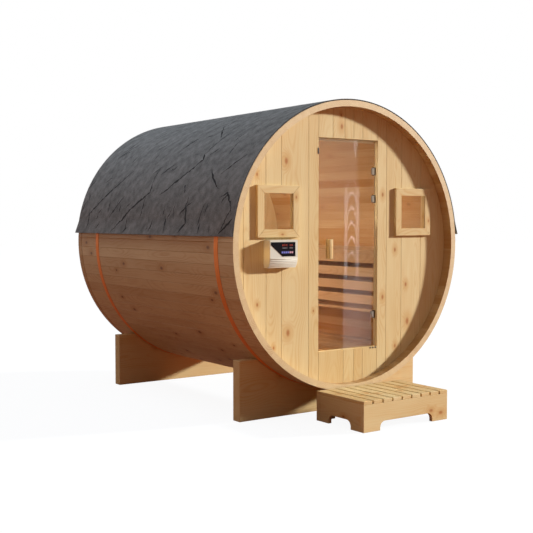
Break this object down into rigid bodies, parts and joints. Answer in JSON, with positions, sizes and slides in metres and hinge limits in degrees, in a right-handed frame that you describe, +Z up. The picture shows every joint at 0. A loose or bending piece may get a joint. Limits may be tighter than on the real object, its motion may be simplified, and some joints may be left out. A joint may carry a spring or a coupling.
{
  "type": "barrel sauna",
  "caption": "Round wooden barrel cabin lying on cradle boards, with hinged glass door, small square windows, felt roof, bench inside and slatted entry step.",
  "frame": {"origin": "on the ground, in the middle of the part's box seen from above", "axes": "+Z up, +Y along the barrel from the doorway to the rear, +X to the right as seen from the front"},
  "size_m": [2.1672, 2.958, 2.2904],
  "materials": {
    "pine": "planed, satin oiled",
    "pine_cabin": "planed, untreated",
    "pull_wood": "sanded smooth",
    "window_pane": "clear",
    "door_pane": "clear, toughened",
    "hinge_steel": "brushed",
    "box_plastic": "moulded, fine grain",
    "display_glass": "gloss",
    "hoop_band": "copper coloured, satin",
    "roof_felt": "mineral felt, slate pattern"
  },
  "bodies": {
    "cabin": {"stave_panel_01": "pine", "stave_panel_02": "pine", "stave_panel_03": "pine", "stave_panel_04": "pine", "stave_panel_05": "pine", "stave_panel_06": "pine", "stave_panel_07": "pine", "stave_panel_08": "pine", "stave_panel_09": "pine", "stave_panel_10": "pine", "stave_panel_11": "pine", "stave_panel_12": "pine", "rear_wall": "pine", "front_wall_left": "pine", "front_wall_right": "pine", "door_jamb_left": "pine", "door_jamb_right": "pine", "door_header": "pine", "door_sill_panel": "pine", "window_frame_left": "pine", "window_frame_right": "pine", "window_glass_left": "window_pane", "window_glass_right": "window_pane", "window_inner_frame_left": "pine", "window_inner_frame_right": "pine", "door_hinge_plates": "hinge_steel", "door_catch": "hinge_steel", "door_head_stop": "pine", "control_box": "box_plastic", "control_display": "display_glass", "floor_bearers": "pine_cabin", "floor_deck": "pine_cabin", "bench_brackets": "pine_cabin", "bench_seat": "pine_cabin", "bench_front": "pine_cabin", "hoop_front": "hoop_band", "hoop_rear": "hoop_band", "roof_covering": "roof_felt", "cradle_front_board": "pine", "cradle_rear_board": "pine", "step_treads": "pine", "step_apron_front": "pine", "step_apron_rear": "pine", "step_side_left": "pine", "step_side_right": "pine"},
    "door": {"door_glass": "door_pane", "door_pull": "pull_wood", "door_hinge_clamps": "hinge_steel"}
  },
  "joints": [
    {"name": "door_hinge", "type": "hinge", "parent": "cabin", "child": "door", "pos_m": [0.287, -0.851, 1.229], "axis": [0, 0, 1], "range_deg": [0, 90]}
  ]
}
